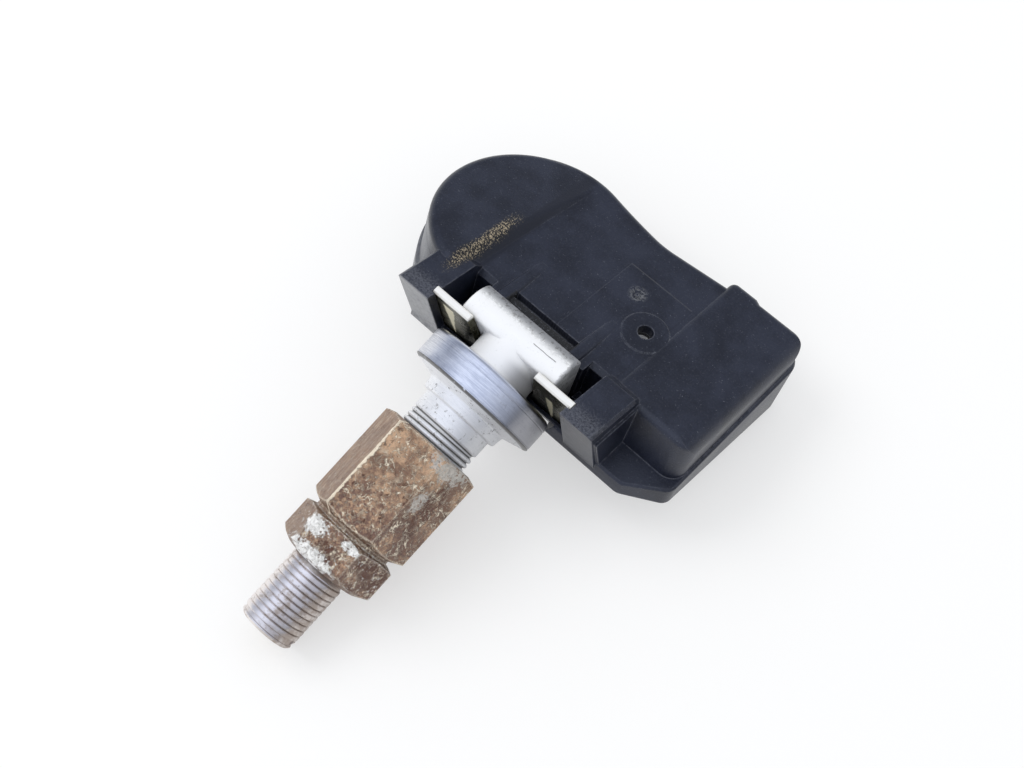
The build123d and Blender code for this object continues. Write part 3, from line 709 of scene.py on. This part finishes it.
def steelWithPaintedLight():
    look = clipLook
    f = Finish("steelWithPaintedLight")
    place = f.benchCoords()
    across, height = f.axis(place, 0), f.axis(place, 2)
    cloud = f.noise(place, 0.9, 6.0, 0.65)
    # painted light: the top is painted bright as if lit from above, the front dark olive as a painted
    # reflection of shaded surroundings, with two painted glints
    litTop = f.smooth(height + cloud * 0.5, look["top"] - 0.25, look["top"] + 0.2)
    glint = 0.0
    for middle, half, low, high in look["glints"]:
        taper = f.smooth(height, low, high, 0.15, 1.0) * half
        spot = 1 - f.smooth(f.size(across - middle + cloud * 0.5 - 0.25) - taper, -0.15, 0.1)
        spot = spot * f.smooth(height, low, low + 0.4) * (1 - f.smooth(height, high - 0.3, high))
        glint = spot + glint
    glint = f.clamp(glint)
    colour = f.mix(f.smooth(cloud, 0.45, 0.75) * 0.12, look["olive"], look["warm"])
    colour = f.mix(glint, colour, look["warm"])
    colour = f.mix(litTop, colour, look["bright"])
    rough = f.smooth(cloud, 0.3, 0.7, 0.24, 0.38) + f.clamp(litTop + glint) * 0.15
    brushed = f.noise(f.stretch(place, (0.4, 12.0, 12.0)), 1.0, 3.0, 0.6)
    metal = 1 - f.clamp(litTop * 0.6 + glint * 0.7)
    skin = f.bump(brushed + cloud, 0.02, 0.5)
    return f.wire(Base_Color=colour, Roughness=rough, Metallic=metal, Normal=skin)


paintNode("retaining_clip", steelWithPaintedLight())
print("clip painted")

# valve core

coreLook = {
    "brass": ((0.80, 0.60, 0.26, 1.0), (0.42, 0.27, 0.09, 1.0)),
    "rubber": ((0.022, 0.022, 0.024, 1.0), (0.05, 0.05, 0.05, 1.0)),
    "wire": ((0.62, 0.62, 0.63, 1.0), (0.34, 0.33, 0.31, 1.0)),
    "springRadius": 0.90,
    "wireRadius": 0.15,
    "wireSides": 10,
    "turnSteps": 28,
    "springLow": 34.80,
    "springHigh": 44.80,
    "turns": 6,
}


def plainFinish(name, pair, metallic, rough, scale, grainHeight):
    f = Finish(name, Metallic=metallic)
    place = f.objectPlace()
    cloud = f.noise(place, scale, 5.0, 0.6)
    grain = f.noise(place, scale * 7, 3.0, 0.6)
    colour = f.mix(f.smooth(cloud * 0.7 + grain * 0.3, 0.36, 0.68), pair[0], pair[1])
    level = f.smooth(cloud + grain * 0.3, 0.4, 0.9, rough - 0.08, rough + 0.1)
    return f.wire(Base_Color=colour, Roughness=level, Normal=f.bump(grain, grainHeight, 0.5))


brassFinish = plainFinish("turnedBrass", coreLook["brass"], 1.0, 0.3, 1.6, 0.01)
rubberFinish = plainFinish("sealRubber", coreLook["rubber"], 0.0, 0.7, 1.2, 0.02)
wireFinish = plainFinish("springWire", coreLook["wire"], 1.0, 0.3, 3.0, 0.008)
for node in ("core_barrel", "core_pin"):
    paintNode(node, brassFinish)
for node in ("core_gasket", "core_seal", "port_seal"):
    paintNode(node, rubberFinish)
print("core painted")


def coilSpring(bm):
    look = coreLook
    low, high = look["springLow"], look["springHigh"]
    stand = Matrix.Translation((look["springRadius"], 0, low)) @ Matrix.Rotation(math.pi / 2, 4, "X")
    ring = bmesh.ops.create_circle(
        bm, segments=look["wireSides"], radius=look["wireRadius"], matrix=stand
    )
    steps = look["turnSteps"] * look["turns"]
    rise = (0, 0, (high - low) / steps)
    bmesh.ops.spin(
        bm, geom=ring["verts"] + bm.edges[:], cent=(0, 0, 0), axis=(0, 0, 1), dvec=rise,
        angle=2 * math.pi * look["turns"], steps=steps, use_merge=False,
    )
    bmesh.ops.holes_fill(bm, edges=bm.edges, sides=0)


spring = bmesh.new()
addTo(spring, coilSpring, valvePlace)
springPiece = makePiece(spring, "coreSpring", "sensor", wireFinish, ["core_spring"])
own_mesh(springPiece)

# pieces inside the housing

# name, two colours, metallic, roughness, scale of the pattern, height of the grain
insideLook = {
    "circuit_board": (
        "solderResist", ((0.018, 0.13, 0.05, 1.0), (0.03, 0.19, 0.075, 1.0)), 0.0, 0.35, 0.8, 0.01,
    ),
    "coin_cell": (
        "platedCell", ((0.70, 0.70, 0.69, 1.0), (0.52, 0.52, 0.52, 1.0)), 1.0, 0.28, 0.5, 0.01,
    ),
    "positive_tab": (
        "rolledNickel", ((0.66, 0.65, 0.62, 1.0), (0.48, 0.47, 0.44, 1.0)), 1.0, 0.3, 0.9, 0.008,
    ),
    "negative_tab": ("rolledNickel",),
    "antenna_strip": ("rolledNickel",),
    "sensor_body": (
        "mouldedChip", ((0.018, 0.018, 0.02, 1.0), (0.035, 0.035, 0.037, 1.0)), 0.0, 0.55, 2.0, 0.015,
    ),
    "radio_chip": ("mouldedChip",),
    "sensor_lid": (
        "pressedLid", ((0.95, 0.95, 0.95, 1.0), (0.80, 0.80, 0.80, 1.0)), 0.2, 0.35, 1.4, 0.008,
    ),
    "crystal_can": ("pressedLid",),
    "receiver_coil_core": (
        "sinteredFerrite", ((0.03, 0.03, 0.032, 1.0), (0.07, 0.07, 0.074, 1.0)), 0.0, 0.6, 2.4, 0.02,
    ),
    "receiver_coil_winding": (
        "enamelledCopper", ((0.60, 0.25, 0.10, 1.0), (0.42, 0.15, 0.06, 1.0)), 0.8, 0.3, 1.0, 0.03,
    ),
    "chip_parts": (
        "tanCeramic", ((0.40, 0.31, 0.21, 1.0), (0.28, 0.21, 0.14, 1.0)), 0.0, 0.5, 2.0, 0.01,
    ),
}
made = {}
for node, (name, *rest) in insideLook.items():
    if name not in made:
        made[name] = plainFinish(name, *rest)
    paintNode(node, made[name])
print("inside painted")

# floor, light and camera

stageLook = {
    "floor": (0.95, 0.95, 0.955, 1.0),
    "floorSize": 1.5,
    "floorGap": 0.00001,
    "floorGlow": 0.48,
    "keyPower": 1.7,
    "keySide": 0.45,
    "keyFrom": (-0.46, -0.12, 0.56),
    "keyAim": (0, 0.01, -0.005),
    "sky": 0.88,
    "skyTint": (0.97, 0.985, 1.0, 1.0),
    "mirrorTop": 0.38,
    "mirrorLow": 0.80,
    "mirrorLeft": -0.14,
    "mirrorRight": 0.35,
    "mirrorShade": -0.55,
    "softBox": (-0.10, -0.22, 0.97),
    "softBoxLevel": 0.75,
    "mirrorTint": (0.85, 0.93, 1.13, 1.0),
}

floorMesh = bmesh.new()
bmesh.ops.create_grid(floorMesh, x_segments=4, y_segments=4, size=stageLook["floorSize"])
floorHeight = cadBounds[0].z - stageLook["floorGap"]
bmesh.ops.translate(floorMesh, vec=(0, 0, floorHeight), verts=floorMesh.verts)
floorData = bpy.data.meshes.new("floor")
floorMesh.to_mesh(floorData)
floorMesh.free()
floor = bpy.data.objects.new("floor", floorData)
scene.collection.objects.link(floor)
floorGlow = stageLook["floorGlow"]
floorFinish = Finish("paleFloor", Roughness=0.8, Specular_IOR_Level=0.15, Emission_Strength=floorGlow)
floorTone = floorFinish.noise(floorFinish.objectPlace(), 0.02, 3.0, 0.5)
floorColour = floorFinish.mix(floorTone * 0.04, stageLook["floor"], grey(0.8))
seenRays = ("Is Camera Ray", "Is Glossy Ray", "Is Transmission Ray")
floorSeen = sum(floorFinish.node("ShaderNodeLightPath", {}, {}, name) for name in seenRays)
floorSeen = floorFinish.clamp(floorSeen)
floorData.materials.append(
    floorFinish.wire(
        Base_Color=floorFinish.mix(floorSeen * floorGlow, floorColour, grey(0.0)),
        Emission_Color=floorFinish.mix(floorSeen, grey(0.0), grey(1.0)),
    )
)


def softLamp(name, power, side, place, aim):
    data = bpy.data.lights.new(name, "AREA")
    data.energy = power
    data.shape = "DISK"
    data.size = side
    lamp = bpy.data.objects.new(name, data)
    lamp.location = place
    lamp.rotation_euler = (Vector(aim) - Vector(place)).to_track_quat("-Z", "Y").to_euler()
    lamp.visible_glossy = False
    scene.collection.objects.link(lamp)


keyLook = [stageLook[key] for key in ("keyPower", "keySide", "keyFrom", "keyAim")]
softLamp("keyLamp", *keyLook)

world = bpy.data.worlds.new("studio")
world.use_nodes = True
scene.world = world
sky = Finish("studio", world.node_tree)
direction = sky.node("ShaderNodeTexCoord", {}, {}, "Generated")
sideways, upward = sky.axis(direction, 0), sky.axis(direction, 2)
leftward = sky.smooth(0 - sideways, 0.3, 0.95) * stageLook["mirrorLeft"]
rightward = sky.smooth(upward, 0.15, 0.35, stageLook["mirrorShade"], stageLook["mirrorRight"])
rightward = rightward * sky.smooth(sideways, 0.4, 0.8)
around = sky.smooth(upward, 0.1, 0.6, stageLook["mirrorLow"], stageLook["mirrorTop"])
towards = sky.dot(direction, stageLook["softBox"])
softBox = sky.smooth(towards, 0.40, 0.98) * stageLook["softBoxLevel"]
mirrored = leftward + rightward + around + softBox
plainRays = ("Is Camera Ray", "Is Transmission Ray")
seen = sky.clamp(sum(sky.node("ShaderNodeLightPath", {}, {}, name) for name in plainRays))
glossy = sky.node("ShaderNodeLightPath", {}, {}, "Is Glossy Ray")
level = mirrored * glossy + stageLook["sky"] * (1 - glossy)
level = level * (1 - seen) + seen
tint = sky.mix(glossy, stageLook["skyTint"], stageLook["mirrorTint"])
back = sky.nodes["Background"]
sky.links.new(sky.mix(seen, tint, grey(1.0)).socket, back.inputs["Color"])
sky.links.new(level.socket, back.inputs["Strength"])
print("stage lit")

cameraLook = {
    "place": (0.0497086, -0.0471490, 0.1516501),
    "across": (0.72365247, 0.69008507, 0.01047388),
    "up": (-0.62836803, 0.65250494, 0.42354567),
    "backward": (0.28544828, -0.31308132, 0.9058142),
    "lens": 47.609,
    "sensor": 36.0,
    "clip": 0.005,
}
cameraData = bpy.data.cameras.new("camera")
cameraData.sensor_width = cameraLook["sensor"]
cameraData.sensor_fit = "HORIZONTAL"
cameraData.lens = cameraLook["lens"]
cameraData.clip_start = cameraLook["clip"]
camera = bpy.data.objects.new("camera", cameraData)
turn = Matrix([cameraLook[key] for key in ("across", "up", "backward")]).transposed().to_4x4()
camera.matrix_world = Matrix.Translation(cameraLook["place"]) @ turn
scene.collection.objects.link(camera)
scene.camera = camera
scene.view_settings.view_transform = "Standard"
print("camera set")
